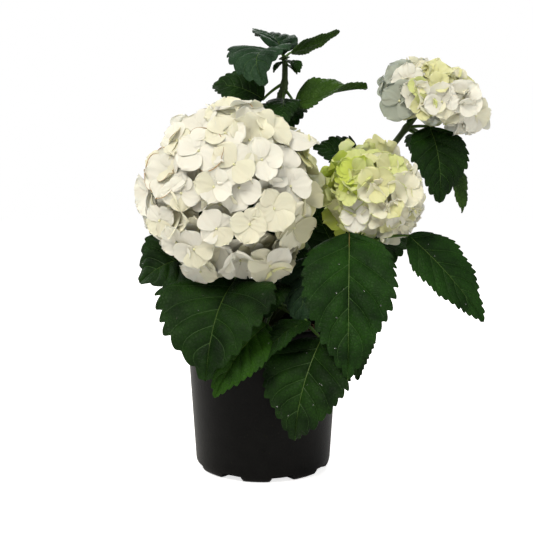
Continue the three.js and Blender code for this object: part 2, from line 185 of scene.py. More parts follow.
# Each head's shape, and how its florets are set, sized and bent; a stray is a single long sepal that stands out.
blooms = {
    "large": {
        "middle": (-32, -56, 292), "radii": (83, 66, 86), "florets": 44, "spread": 156, "size": 25, "sunk": 0.03,
        "lean": (0, 0), "seed": 11, "variety": 3, "finer": (0.92, 0.86), "crowd": 1.25,
        "swells": [((-0.7, -0.2, 0.7), -0.09, 0.5), ((0.1, 0, 1), -0.13, 0.5), ((0.0, -0.6, -0.8), -0.08, 0.3),
                   ((0.4, -0.4, -0.85), 0.05, 0.4)],
        "strays": [{"from": (0.46, -0.42, 0.66), "toward": (0.95, 0.05, -0.2), "length": 46, "tint": "white",
                    "form": {"lean": 0.1, "bend": 0.1, "cup": -0.5, "twist": 0.1, "wide": 0.6, "fold": -0.15,
                             "phase": 1.0, "ruffle": 0.03}}],
        "habit": {"lean": (-0.05, 0.25), "bend": (-0.22, 0.04), "cup": (-0.2, 0.35), "ruffle": 0.045,
                  "fold": (-0.1, 0.2), "closed": 0.2, "heart": 1.3},
    },
    "medium": {
        "middle": (111, -32, 291), "radii": (48, 42, 43), "florets": 28, "spread": 150, "size": 17, "sunk": 0.11,
        "lean": (0, 0), "seed": 5, "variety": 4, "finer": (1.04, 0.95), "crowd": 1.0,
        "swells": [((-0.8, -0.2, -0.6), -0.08, 0.5), ((0.3, 0, 0.9), -0.28, 0.6), ((1, 0, 0.1), -0.12, 0.5)],
        "strays": [{"from": (0.12, -0.78, -0.6), "toward": (0.3, 0.0, -1.0), "length": 14, "tint": "cream",
                    "form": {"lean": 0.1, "bend": 0.2, "cup": 0.8, "twist": 0.2, "wide": 0.7, "fold": 0.9,
                             "phase": 2.0, "ruffle": 0.06}}],
        "habit": {"lean": (0.1, 0.55), "bend": (-0.25, 0.15), "cup": (-0.1, 0.6), "ruffle": 0.07,
                  "fold": (-0.2, 0.4), "closed": 0.25, "heart": 1.9},
    },
    "upper": {
        "middle": (177, 15, 386), "radii": (55, 48, 34), "florets": 25, "spread": 108, "size": 18.5, "sunk": 0.12,
        "lean": (0, 15), "seed": 23, "variety": 4, "finer": (1.04, 0.95), "crowd": 1.0,
        "swells": [((0, 0.2, 1), -0.22, 0.6), ((-0.7, 0, 0.7), -0.2, 0.4), ((0.75, 0.1, 0.65), -0.38, 0.6),
                   ((0.4, 0.6, 0.7), -0.28, 0.5)],
        "strays": [],
        "habit": {"lean": (0.05, 0.5), "bend": (-0.3, 0.15), "cup": (-0.3, 0.6), "ruffle": 0.08,
                  "fold": (-0.2, 0.4), "closed": 0.25, "heart": 1.3},
    },
}
rimmedSepals = {"withered": (0, 3), "lime": range(4)}
# Two layers under the outer one close its gaps. A layer's depth and clearance from a front floret are shares of the
# head and of that floret, and its tilt is in degrees. A floret's stalk leaves the cane's end and passes its joint.
floretRule = {"push": 0.08, "innerShare": 0.8, "innerSize": 1.15, "smallest": 0.86, "growth": 0.26,
              "stalkRadius": (1.5, 0.7), "stalkSteps": 9, "jointDepth": 0.45, "jointShare": 0.7}
rimRule = {"witheredShare": 0.8, "witheredWidth": 1.0, "limeShare": 0.45, "limeWidth": 1.5}
layerRule = [{"depth": 0.0, "tilt": 20, "clear": 0.9}, {"depth": 0.08, "tilt": 30, "clear": 0.5},
             {"depth": 0.17, "tilt": 15, "clear": 0.0}]


def newBatch():
    return {"points": [], "faces": [], "count": 0}


def addPart(batch, points, faces):
    batch["points"].append(points)
    batch["faces"].extend((block + batch["count"]).tolist() for block in faces)
    batch["count"] += len(points)


def unit(vectors):
    return vectors / np.maximum(np.linalg.norm(vectors, axis=-1, keepdims=True), 1e-9)


def gridFaces(rows, columns, wrap=False):
    across = columns if wrap else columns - 1
    i, j = np.meshgrid(np.arange(rows - 1), np.arange(across), indexing="ij")
    k = (j + 1) % columns
    return np.stack([i * columns + j, i * columns + k, (i + 1) * columns + k, (i + 1) * columns + j], -1).reshape(-1, 4)


# A closed sheet: an upper and a lower grid of points joined along their rim.
def addSheet(batch, upper, lower):
    rows, columns = upper.shape[:2]
    top = gridFaces(rows, columns)
    rim = [i * columns for i in range(rows - 1, 0, -1)] + list(range(columns - 1))
    rim += [i * columns + columns - 1 for i in range(rows - 1)]
    rim += [(rows - 1) * columns + j for j in range(columns - 1, 0, -1)]
    rim = np.array(rim)
    nextRim = np.roll(rim, -1)
    total = rows * columns
    sides = np.stack([rim + total, nextRim + total, nextRim, rim], -1)
    addPart(batch, np.concatenate([upper.reshape(-1, 3), lower.reshape(-1, 3)]), [top, top[:, ::-1] + total, sides])


# A closed sheet about a grid of points, by half its thickness, turned by place and moved to at.
def addThin(batch, grid, half, place=np.eye(3), at=0.0):
    addSheet(batch, (grid + half) @ place.T + at, (grid - half) @ place.T + at)


def anglesOf(sides):
    return np.arange(sides) * 2 * math.pi / sides


# A closed skin over rings of points, capped at both ends.
def addRings(batch, points, flip=False):
    rings, sides = points.shape[:2]
    cap = np.arange(sides)
    faces = [gridFaces(rings, sides, True)[:, ::-1], cap[None], ((rings - 1) * sides + cap)[None, ::-1]]
    addPart(batch, points.reshape(-1, 3), [face[:, ::-1] for face in faces] if flip else faces)


# A closed tube through the points, with a radius at each and its section turned to the reference direction.
def addTube(batch, path, radii, sides, reference):
    forward = unit(np.gradient(path, axis=0))
    side = unit(np.cross(forward, reference))
    over = np.cross(side, forward)
    angles = anglesOf(sides)
    ring = side[:, None] * np.cos(angles)[None, :, None] + over[:, None] * np.sin(angles)[None, :, None]
    radii = np.broadcast_to(np.asarray(radii, float).reshape(len(path), -1), (len(path), sides))
    addRings(batch, path[:, None] + ring * radii[..., None])


def addObject(name, data):
    added = bpy.data.objects.new(name, data)
    bpy.context.scene.collection.objects.link(added)
    return added


# Makes a batch into one piece that rides on the only body and replaces the CAD node it dresses.
def makePiece(name, batch, material, node):
    mesh = bpy.data.meshes.new(name)
    points = np.concatenate(batch["points"]) * millimetre
    mesh.from_pydata(points.tolist(), [], [face for block in batch["faces"] for face in block])
    mesh.shade_smooth()
    mesh.set_sharp_from_angle(angle=math.radians(55))
    mesh.materials.append(material)
    piece = addObject(name, mesh)
    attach(piece, "root")
    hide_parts(node)


def linear(hexColour):
    parts = [int(hexColour[i:i + 2], 16) / 255 for i in (1, 3, 5)]
    return tuple(c / 12.92 if c <= 0.04045 else ((c + 0.055) / 1.055) ** 2.4 for c in parts) + (1.0,)


def addNode(material, kind, settings=None, links=None):
    node = material.node_tree.nodes.new(kind)
    for key, value in (settings or {}).items():
        if key in node.inputs:
            node.inputs[key].default_value = value
        else:
            setattr(node, key, value)
    for key, source in (links or {}).items():
        material.node_tree.links.new(source, node.inputs[key])
    return node


def emptyMaterial(name):
    material = bpy.data.materials.new(name)
    material.use_nodes = True
    material.node_tree.nodes.clear()
    return material


# Gives a material two tones dealt out by share, a relief of the given depth in metres, its gloss and its softness.
def dressed(material, share, height, depth, low, high, bump, roughness, gloss=0.5, soft=0.0):
    tone = addNode(material, "ShaderNodeMix", {"data_type": "RGBA"}, {"Factor": share})
    for socket, colour in zip((socket for socket in tone.inputs if socket.type == "RGBA"), (low, high)):
        socket.default_value = linear(colour)
    colour = next(socket for socket in tone.outputs if socket.type == "RGBA")
    relief = addNode(material, "ShaderNodeBump", {"Strength": bump, "Distance": depth}, {"Height": height})
    surface = addNode(material, "ShaderNodeBsdfPrincipled",
                      {"Roughness": roughness, "IOR": 1.45, "Specular IOR Level": gloss, "Subsurface Weight": soft,
                       "Subsurface Scale": 1.2 * millimetre, "Subsurface Radius": (0.8, 0.9, 1.0)},
                      {"Base Color": colour, "Normal": relief.outputs["Normal"]})
    addNode(material, "ShaderNodeOutputMaterial", None, {"Surface": surface.outputs["BSDF"]})
    return material


# A surface with a fine relief of grains, and a faint drift of tone over a larger size, both in millimetres.
def grainedMaterial(name, low, high, grain, drift, **finish):
    material = emptyMaterial(name)
    spot = addNode(material, "ShaderNodeTexCoord").outputs["Object"]
    fine = addNode(material, "ShaderNodeTexNoise", {"Scale": 1000 / grain, "Detail": 3.0}, {"Vector": spot})
    broad = addNode(material, "ShaderNodeTexNoise", {"Scale": 1000 / drift, "Detail": 2.0}, {"Vector": spot})
    return dressed(material, broad.outputs["Fac"], fine.outputs["Fac"], grain * millimetre * 0.3, low, high, **finish)


# A surface puckered into cells by a net of fine veins, greener in patches of the drift's size, in millimetres.
def puckeredMaterial(name, low, high, cell, drift, **finish):
    material = emptyMaterial(name)
    spot = addNode(material, "ShaderNodeTexCoord").outputs["Object"]
    bend = addNode(material, "ShaderNodeTexNoise", {"Scale": 1000 / cell / 3, "Detail": 1.0}, {"Vector": spot})
    sway = addNode(material, "ShaderNodeVectorMath", {"operation": "SCALE", "Scale": cell * millimetre},
                   {"Vector": bend.outputs["Color"]})
    moved = addNode(material, "ShaderNodeVectorMath", {"operation": "ADD"}, {0: spot, 1: sway.outputs["Vector"]})
    net = addNode(material, "ShaderNodeTexVoronoi", {"feature": "DISTANCE_TO_EDGE", "Scale": 1000 / cell},
                  {"Vector": moved.outputs["Vector"]})
    swell = addNode(material, "ShaderNodeMapRange", {"From Max": 0.22}, {"Value": net.outputs["Distance"]})
    broad = addNode(material, "ShaderNodeTexNoise", {"Scale": 1000 / drift, "Detail": 3.0}, {"Vector": spot})
    patch = addNode(material, "ShaderNodeMapRange", {"From Min": 0.3, "From Max": 0.7}, {"Value": broad.outputs["Fac"]})
    # Painted shade: the tone darkens along the grooves of the vein net, where the cells dip.
    paintedGrooveShade = addNode(material, "ShaderNodeMapRange", {"To Min": 0.6}, {"Value": swell.outputs["Result"]})
    share = addNode(material, "ShaderNodeMath", {"operation": "MULTIPLY"},
                    {0: paintedGrooveShade.outputs["Result"], 1: patch.outputs["Result"]})
    return dressed(material, share.outputs["Value"], swell.outputs["Result"], 0.5 * millimetre, low, high, **finish)


# Leaf skin is waxy but not shiny. The real cells between its finest veins are about 1 mm, too fine to show, so they
# are drawn at 3.4 mm.
# The shaded tones are a darker copy of the leaf skin, painted shade for leaves that sit in shadow.
leafTones = {"mature": ("#0d2107", "#234512"), "shaded": ("#0b1c06", "#203d10"), "cool": ("#182b1a", "#304a31"),
             "young": ("#20380d", "#3a571b"), "fresh": ("#173208", "#335a14")}
leafSkin = {tint: puckeredMaterial(f"waxyLeaf{tint.title()}", *tones, cell=3.4, drift=26, bump=0.6, roughness=0.5,
                                   gloss=0.1)
            for tint, tones in leafTones.items()}
# Midribs and veins are smoother and paler than the blade, and draw its herringbone; one midrib flushes brown.
veinFinish = {"grain": 0.8, "bump": 0.2, "roughness": 0.5, "gloss": 0.3}
ribSkin = grainedMaterial("paleMidrib", "#465d25", "#607a37", drift=20, **veinFinish)
veinSkin = grainedMaterial("softVein", "#2b461a", "#3c5a28", drift=20, **veinFinish)
ruddySkin = grainedMaterial("ruddyMidrib", "#54502a", "#7a6a38", drift=8, **veinFinish)
# Water stands on the wax in clear drops, each with one small bright glint.
waterSkin = emptyMaterial("clearWater")
wet = addNode(waterSkin, "ShaderNodeBsdfPrincipled",
              {"Base Color": (1, 1, 1, 1), "Roughness": 0.03, "IOR": 1.33, "Transmission Weight": 0.9})
addNode(waterSkin, "ShaderNodeOutputMaterial", None, {"Surface": wet.outputs["BSDF"]})
# Stalks are juicy and faintly glossy; the canes that carry them are duller and ripen from green to brown; the old wood
# of the crown flakes.
stalkSkin = grainedMaterial("greenStalk", "#34501a", "#4f6e28", 0.9, 18, bump=0.4, roughness=0.5, gloss=0.35)
shootSkin = grainedMaterial("ripeningShoot", "#243317", "#415227", 1.2, 12, bump=0.6, roughness=0.6, gloss=0.35)
barkSkin = grainedMaterial("flakyBark", "#4a3a26", "#7c6849", 1.6, 7, bump=1.0, roughness=0.9)

# Petals are thin and matt, and light soaks a little way into them.
# The last two tints are greyer copies of the petals, painted shade for florets on the heads' shaded sides.
petalTones = {"white": ("#dfdecf", "#e7e5d7"), "ivory": ("#dad8bd", "#e3e0c8"), "cream": ("#d2d19a", "#d9d9a8"),
              "pale": ("#c4cc81", "#d0d696"), "lime": ("#baca54", "#cfda70"), "paintedShadeWarm": ("#b0ad8e", "#c1bea1"),
              "paintedShadeGrey": ("#9fa598", "#aeb2a3")}
petalSkin = {tint: grainedMaterial(f"mattPetal{tint.title()}", *tones, grain=1.1, drift=16, bump=0.2, roughness=0.75,
                                   gloss=0.2, soft=0.5)
             for tint, tones in petalTones.items()}
# Each floret holds a cream bud at its heart, and a few sepals have a thin brown edge where they wither.
heartSkin = grainedMaterial("budHeart", "#cfcf9c", "#e2dfb8", 0.6, 6, bump=0.4, roughness=0.6)
witheredSkin = grainedMaterial("witheredRim", "#94724a", "#b89768", 0.7, 4, bump=0.5, roughness=0.8)
print("materials ready")


def pointOn(through, t):
    points = [np.array(p, float) for p in through]
    points = [2 * points[0] - points[1], *points, 2 * points[-1] - points[-2]]
    place = min(max(t, 0.0), 1.0) * (len(through) - 1)
    i = min(int(place), len(through) - 2)
    w = place - i
    a, b, c, d = points[i:i + 4]
    start, end = (c - a) / 2, (d - b) / 2
    return b + start * w + (3 * (c - b) - 2 * start - end) * w ** 2 + (2 * (b - c) + start + end) * w ** 3


# Points along an arc from start to end, pulled towards bend.
def arc(start, bend, end, steps):
    t = np.linspace(0, 1, steps)[:, None]
    return start * (1 - t) ** 2 + bend * 2 * t * (1 - t) + end * t ** 2


def headed(heading, pitch):
    h, p = math.radians(heading), math.radians(pitch)
    return np.array([math.cos(h) * math.cos(p), math.sin(h) * math.cos(p), math.sin(p)])


for stemName, on, heading, length, droop, tint in backLeaves:
    base = pointOn(stems[stemName]["through"], on) + headed(heading, backLeaf["petiolePitch"]) * backLeaf["petiole"]
    leaves[stemName].append(leafRow(on, base, base + headed(heading, droop) * length,
                                    length * backLeaf["slenderness"], backLeaf["rise"], tint))


def turned(vector, axis, degrees):
    angle = math.radians(degrees)
    return (vector * math.cos(angle) + np.cross(axis, vector) * math.sin(angle)
            + axis * np.dot(axis, vector) * (1 - math.cos(angle)))


# A leaf of the full width has teeth, veins and stalk of the full size; a narrower one has finer ones.
blade = {
    "fullWidth": 80, "droop": 0.08, "fullest": 0.72, "thickness": 0.7,
    "toothPitch": 9.5, "toothDepth": 4.1, "toothLead": 0.74, "rowStep": 1.2, "columnStep": 2.5,
    "veinPairs": 5, "veinSlant": 1.5, "veinSpread": (0.03, 0.8), "veinStagger": 0.45, "midribWidth": (1.5, 0.65),
    "veinWidth": (0.85, 0.3), "quilt": 3.2, "waves": 1.5, "ladderPitch": 3.6, "ladderRise": 0.4,
    "stalkWidth": ([0, 0.12, 0.3, 0.85, 1], [3.0, 2.2, 1.9, 1.4, 0.9]),
}
stalkReference = np.array([0.31, 0.2, 0.93])  # a direction that no stalk or midrib runs along


# The blade's skin at places along it, u, and across it, v from -1 to 1, lifted off the midrib's plane.
def bladeFrame(row):
    chord = row["tip"] - row["base"]
    length = np.linalg.norm(chord)
    forward = chord / length
    level = unit(np.array([forward[1], -forward[0], 0.0]))
    aside = turned(level, forward, row["roll"])
    up = np.cross(aside, forward)

    def place(u, across, lift):
        turn = math.radians(row["twist"]) * u[..., None] ** 2
        slope = 4 * (1 - 2 * u)
        along = forward + up * (slope * row["rise"] / length)[..., None]
        along = unit(along + level * (slope * row["sway"] / length)[..., None])
        sideways = aside * np.cos(turn) + up * np.sin(turn)
        right = unit(sideways - along * (along * sideways).sum(-1, keepdims=True))
        face = np.cross(right, along)
        bend = 4 * u * (1 - u)
        spine = row["base"] + chord * u[..., None] + up * (bend * row["rise"])[..., None]
        spine = spine + level * (bend * row["sway"])[..., None]
        return spine + right * across[..., None] + face * lift[..., None], along, right, face

    return place, length, up


# The half width at u as a share of the widest, drawn out to a point unless the tip is blunt.
def outline(u, blunt):
    drawnOut = 1 - 0.4 * (1 - blunt) * np.exp(-((1 - u) / 0.11) ** 2)
    return np.sin(math.pi * u ** blade["fullest"]) ** (0.85 - 0.4 * blunt * u) * (1.08 - 0.24 * u) * drawnOut


# A tooth swells slowly along the edge and is cut back sharply on the side of the leaf's tip.
def toothShape(phase):
    lead = blade["toothLead"]
    return np.where(phase < lead, np.sin(np.clip(phase / lead, 0, 1) * math.pi / 2) ** 0.9,
                    np.cos(np.clip((phase - lead) / (1 - lead), 0, 1) * math.pi / 2))


# Each row of the blade follows a side vein out from the midrib; the skin swells between the veins and its edge waves.
def growLeaf(row, stemThrough, skin, ribs, veins, stalks, random):
    place, length, up = bladeFrame(row)
    size = min(1.0, row["width"] / blade["fullWidth"])
    pitch = row["pitch"] * (0.45 + 0.55 * size)
    teeth = max(7, round(length * 1.1 / pitch))
    rows = teeth * max(5, round(pitch / blade["rowStep"])) + 1
    r = np.linspace(0, 1, rows)
    columns = max(8, round(row["width"] / 2 / blade["columnStep"])) + 1
    half = np.linspace(0, 1, columns)
    v = np.concatenate([-half[:0:-1], half])
    reach = np.abs(v)[None]
    midrib, margin = r ** blade["veinSlant"], 1 - (1 - r) ** blade["veinSlant"]
    u = midrib[:, None] + (margin - midrib)[:, None] * (0.9 * reach + 0.1 * reach ** 3)
    halfWidth = np.maximum(0.35, row["width"] / 2 * outline(np.clip(u, 0, 1), row["blunt"]))

    relief = np.zeros_like(u)
    veinRows = {}
    low, high = blade["veinSpread"]
    for side, shift in ((-1, 0.0), (1, blade["veinStagger"])):
        starts = low + (high - low) * (np.arange(blade["veinPairs"]) + shift) / blade["veinPairs"]
        marks = np.unique(np.round(starts ** (1 / blade["veinSlant"]) * (rows - 1)).astype(int))
        veinRows[side] = marks
        edges = np.concatenate([[0], marks, [rows - 1]])
        phase = np.interp(np.arange(rows), edges, np.arange(len(edges))) % 1
        swell = np.sin(math.pi * phase) ** 0.7
        window = (1 - np.exp(-reach / 0.1)) * (1 - 0.75 * reach ** 3)  # calm at the midrib and the edge
        ladder = np.sin(2 * math.pi * u * length / blade["ladderPitch"] + 1.6 * np.sin(6 * v + 9 * shift)[None])
        bulge = swell[:, None] * (1 - u ** 6) * window * (blade["quilt"] * size + blade["ladderRise"] * ladder)
        relief = np.where((v * side > 0)[None], bulge, relief)
    wave = row["width"] / 60 * blade["waves"] * reach ** 2.5  # the waves are given for a leaf 60 mm wide
    turns = 2.2 + random.random()
    relief = relief + wave * np.sin(2 * math.pi * (u * turns + random.random()) + 2.2 * np.sign(v)[None])

    across = v[None] * halfWidth
    lift = halfWidth * (row["fold"] * reach - blade["droop"] * reach ** 2) + relief
    tooth = margin * teeth
    ends = np.clip(np.minimum(margin / 0.12, (1 - margin) / 0.04), 0, 1) * (1 - 0.45 * margin)
    for side in (-1, 1):
        scale = (0.7 + 0.6 * random.random(teeth + 1))[tooth.astype(int)]
        depth = toothShape(tooth % 1) * scale * ends * blade["toothDepth"] * pitch / blade["toothPitch"]
        for step, share in ((0, 1.0), (1, 0.45)):
            column = step if side < 0 else -1 - step
            across[:, column] += side * depth * share
            u[:, column] += 0.8 * depth * share / length
    u = np.clip(u, 0, 1)

    middle, along, right, face = place(u, across, lift)
    addThin(skin, middle, face * blade["thickness"] / 2)

    centre = columns - 1
    ribRadius = np.interp(r, [0, 1], blade["midribWidth"]) / 2 * (0.4 + 0.6 * size)
    addTube(ribs, middle[:, centre] + face[:, centre] * 0.1, ribRadius, 6, up)
    for side, marks in veinRows.items():
        places = centre + side * np.arange(0, columns - 1)
        for mark in marks:
            fine = np.linspace(*blade["veinWidth"], len(places)) / 2 * (0.5 + 0.5 * size)
            addTube(veins, middle[mark, places] + face[mark, places] * 0.28, fine, 5, face[mark, centre])

    foot = pointOn(stemThrough, row["on"])
    gap = np.linalg.norm(row["base"] - foot)
    bow = foot + (row["base"] - foot) * 0.6 + np.array([0, 0, 0.12 * gap])
    path = np.concatenate([arc(foot, bow, row["base"], 14), middle[2:6, centre] - face[2:6, centre] * 0.4])
    width = np.interp(np.linspace(0, 1, len(path)), *blade["stalkWidth"])
    addTube(stalks, path, width * (0.55 + 0.45 * size), 9, stalkReference)
    return middle, right, along, face


random = np.random.default_rng(7)


# A bead is a low dome closed underneath, set on a surface whose three directions are the columns of world.
def addBead(batch, at, world, size, sink, squash=1.0):
    rings, sides = 6, 8
    polar = np.linspace(0.1, 1.9, rings)[:, None]
    around = anglesOf(sides)[None]
    ball = np.stack(np.broadcast_arrays(np.sin(polar) * np.cos(around), np.sin(polar) * np.sin(around),
                                        np.cos(polar) * squash), -1) * size
    ball[..., 2] += sink
    addRings(batch, ball @ world.T + at)


dropDraws = np.random.default_rng(31)


def growMass(name, node, rows, through):
    skins, ribs, veins, stalks, drops = {}, newBatch(), newBatch(), newBatch(), newBatch()
    for index, row in enumerate(rows + youngLeaves.get(name, [])):
        surface = growLeaf(row, through, skins.setdefault(row["tint"], newBatch()), ribs, veins, stalks, random)
        rowCount, columnCount = surface[0].shape[:2]
        for _ in range(row["drops"]):
            i, j = dropDraws.integers(rowCount // 6, rowCount * 4 // 5), dropDraws.integers(3, columnCount - 3)
            at, right, along, face = (side[i, j] for side in surface)
            world = np.stack([right, along, face], -1)
            addBead(drops, at + face * blade["thickness"] / 2, world, dropDraws.uniform(0.5, 1.0), 0.1, 0.6)
        if (name, index) == ruddyLeaf["row"]:
            middle, _, _, face = surface
            part, centre = range(round(rowCount * ruddyLeaf["reach"] ** 0.67)), columnCount // 2
            flush = newBatch()
            taper = np.linspace(ruddyLeaf["radius"], 0.4, len(part))
            addTube(flush, middle[part, centre] + face[part, centre] * 0.2, taper, 8, stalkReference)
            makePiece(f"{name}_ruddyMidrib", flush, ruddySkin, node)
    if drops["count"]:
        makePiece(f"{name}_waterDrops", drops, waterSkin, node)
    for tint, skin in skins.items():
        makePiece(f"{name}_leafBlades_{tint}", skin, leafSkin[tint], node)
    for part, batch, skin in (("Midribs", ribs, ribSkin), ("Veins", veins, veinSkin), ("Stalks", stalks, stalkSkin)):
        makePiece(f"{name}_leaf{part}", batch, skin, node)


for stemName, rows in leaves.items():
    growMass(stemName, f"leaves_{stemName}", rows, stems[stemName]["through"])
growMass("middle", "leaves_middle", [sideLeaf["row"]], stems[sideLeaf["stem"]]["through"])
print("leaves grown")


# A stem swells a little at each pair of leaves and is ridged along its length; below them it swells at old scars.
stemForm = {"sides": 16, "ridges": 6, "ridgeDepth": 0.05, "nodeSwell": 0.32, "nodeLength": 4.5, "ringPitch": 2.2,
            "scarPitch": 42, "lowestScar": 0.08, "roughness": 0.05}
for stemName, stem in stems.items():
    samples = np.array([pointOn(stem["through"], t) for t in np.linspace(0, 1, 60)])
    length = np.linalg.norm(np.diff(samples, axis=0), axis=1).sum()
    count = int(length / stemForm["ringPitch"])
    t = np.linspace(0, 1, count)
    path = np.array([pointOn(stem["through"], s) for s in t])
    radius = np.interp(t, [0, 1], stem["radius"])
    sideNodes = {sideLeaf["row"]["on"]} if stemName == sideLeaf["stem"] else set()
    nodesOn = sorted({row["on"] for row in leaves[stemName]} | sideNodes)
    step = stemForm["scarPitch"] / length
    nodesOn += list(np.arange(min(nodesOn) - step, stemForm["lowestScar"], -step))
    for on in nodesOn:
        radius = radius * (1 + stemForm["nodeSwell"] * np.exp(-((t - on) * length / stemForm["nodeLength"]) ** 2))
    angles = anglesOf(stemForm["sides"])
    ridges = 1 + stemForm["ridgeDepth"] * np.cos(angles * stemForm["ridges"])[None] * np.ones((count, 1))
    fading = np.interp(t, [0, 0.5], [1, 0.2])[:, None]
    rough = 1 + stemForm["roughness"] * random.standard_normal((count, stemForm["sides"])) * fading
    batch = newBatch()
    addTube(batch, path, radius[:, None] * ridges * rough, stemForm["sides"], np.array([0.36, 0.8, 0.48]))
    makePiece(f"{stemName}_cane", batch, shootSkin, f"cane_{stemName}")

# The crown is a short knobbly stool that all the canes leave from, rounded off over the last tenth of its height.
crown = {"low": 139, "high": 172, "footRadius": 11.5, "topRadius": 8.5, "sides": 40, "rings": 40, "knob": 1.6,
         "knobHeight": 9, "knobsAround": 1.6, "rounded": 0.1, "roundedBy": 0.5}
z = np.linspace(crown["low"], crown["high"], crown["rings"])
share = (z - crown["low"]) / (crown["high"] - crown["low"])
angles = anglesOf(crown["sides"])
path = np.stack([np.zeros_like(z), np.zeros_like(z), z], -1)
radius = crown["footRadius"] + (crown["topRadius"] - crown["footRadius"]) * share
atTop = np.clip(share - 1 + crown["rounded"], 0, 1) / crown["rounded"]
radius = radius * (1 - crown["roundedBy"] * atTop * share)
around = crown["knobsAround"]
knobs = np.array([[noise.noise(Vector((math.cos(a) * around, math.sin(a) * around, height / crown["knobHeight"])))
                   for a in angles] for height in z])
batch = newBatch()
addTube(batch, path, radius[:, None] + knobs * crown["knob"], crown["sides"], np.array([0.0, 1.0, 0.0]))
makePiece("crown_bark", batch, barkSkin, "crown")
print("stems grown")


def numbersFrom(seed):
    state = seed
    while True:
        state = (state * 1664525 + 1013904223) % 4294967296
        yield state / 4294967296


# Rows and columns of a sepal's grid, from the front florets down to the innermost layer, and its shape by shares.
sepal = {"details": [(11, 17), (10, 15), (8, 11), (6, 7)], "claw": 0.26, "roundFrom": 0.56, "breadth": 0.58,
         "thickness": 0.25, "rimLift": 0.25}


# One sepal lying out from the floret's middle along its own x axis, with z as the floret's face.
def sepalGrid(length, form, detail):
    rows, columns = sepal["details"][detail]
    t = np.linspace(0.02, 1, rows)[:, None] ** 0.9
    s = np.linspace(-1, 1, columns)[None]
    inner = sepal["claw"] + (1 - sepal["claw"]) * np.sin(math.pi / 2 * np.clip(t / sepal["roundFrom"], 0, 1)) ** 1.1
    outer = np.sqrt(1 - np.clip((t - sepal["roundFrom"]) / (1 - sepal["roundFrom"]), 0, 0.985) ** 2)
    width = sepal["breadth"] * form["wide"] * np.where(t < sepal["roundFrom"], inner, outer)
    x = t * (1 - 0.05 * s ** 2) + 0.04 * np.sin(4 * s + form["phase"]) * t ** 3
    y = width * s
    z = form["lean"] * t + form["bend"] * t ** 2 + form["cup"] * y ** 2 + form["twist"] * y
    z = z + form["fold"] * np.sqrt(s ** 2 + 0.02) * width * np.sin(math.pi * t * 0.8)
    z = z + 0.03 * np.sin(2.6 * s + 2.5 * t + form["phase"]) * t
    edge = np.sin(5.5 * s + 1.5 * t + form["phase"] * 2) + 0.5 * np.sin(11 * s - 2 * t + form["phase"])
    z = z + form["ruffle"] * edge * t ** 2.5 * (0.4 + 0.6 * np.abs(s))
    z = z - 0.028 * (np.exp(-(s / 0.14) ** 2) + 0.6 * np.exp(-((np.abs(s) - 0.45) / 0.12) ** 2)) * np.sin(math.pi * t)
    return np.stack(np.broadcast_arrays(x, y, z), -1) * length


def addSepal(batch, grid, place, at):
    normals = unit(np.cross(np.gradient(grid, axis=0), np.gradient(grid, axis=1)))
    addThin(batch, grid, normals * sepal["thickness"] / 2, place, at)


# Four sepals round a bud; in a closed floret they stand up and crumple. A rim is a thin border laid over the edge.
def growFloret(at, world, radius, spin, petals, tints, hearts, random, rim, habit, detail):
    lean, twist = random.uniform(*habit["lean"]), random.choice([-1, 1]) * random.uniform(0.02, 0.12)
    closed = random.random() < habit["closed"]
    lean += 0.4 * closed
    for k in range(4):
        form = {"lean": lean + random.uniform(-0.08, 0.08), "bend": random.uniform(*habit["bend"]),
                "cup": random.uniform(*habit["cup"]), "twist": twist + random.uniform(-0.05, 0.05),
                "wide": random.uniform(0.88, 1.16), "phase": random.uniform(0, 6),
                "fold": random.uniform(*habit["fold"]) + 0.35 * closed,
                "ruffle": habit["ruffle"] * random.uniform(0.5, 1.3) * (1 + closed)}
        length = radius * random.uniform(0.88, 1.1)
        grid = sepalGrid(length, form, detail)
        grid[..., 2] += 0.9 * (k % 2) + 0.3
        angle = k * math.pi / 2 - spin + random.uniform(-0.12, 0.12)
        c, s = math.cos(angle), math.sin(angle)
        place = world @ np.array([[c, -s, 0], [s, c, 0], [0, 0, 1]])
        addSepal(petals.setdefault(tints[0] if random.random() < 0.7 else tints[1], newBatch()), grid, place, at)
        if rim and k in rim["sepals"]:
            ringOut = np.concatenate([grid[4:, 0], grid[-1, 1:-1], grid[4:, -1][::-1]])
            middle = np.array([0.55 * length, 0, ringOut[:, 2].mean()])
            along = np.linspace(0, 3, len(ringOut))[:, None]
            width = rim["width"] * np.sin(along * math.pi / 3) ** 0.5 * (0.7 + 0.3 * np.sin(along * 4 + form["phase"]))
            ringIn = ringOut + unit(middle - ringOut) * (width + 0.05)
            addThin(rim["batch"], np.stack([ringOut, ringIn]), np.array([0, 0, sepal["rimLift"]]), place, at)
    if detail < 3:
        addBead(hearts, at, world, habit["heart"], 0.9 + habit["heart"] * 0.6)


# The outer florets stand on a spiral of golden turns, from the top of the head to its spread.
def bloomDirections(spec):
    goldenTurn = 2.39996
    for i in range(spec["florets"]):
        height = 1 - (i + 0.5) / spec["florets"] * (1 - math.cos(math.radians(spec["spread"])))
        ring = math.sqrt(1 - height ** 2)
        turn = i * goldenTurn + spec["seed"]
        yield Vector((math.cos(turn) * ring, math.sin(turn) * ring, height))


# Tints run from green, where flowers are young or in painted shade, to white; each floret has a main and a second tint.
petalScale = ["white", "ivory", "cream", "pale", "lime"]


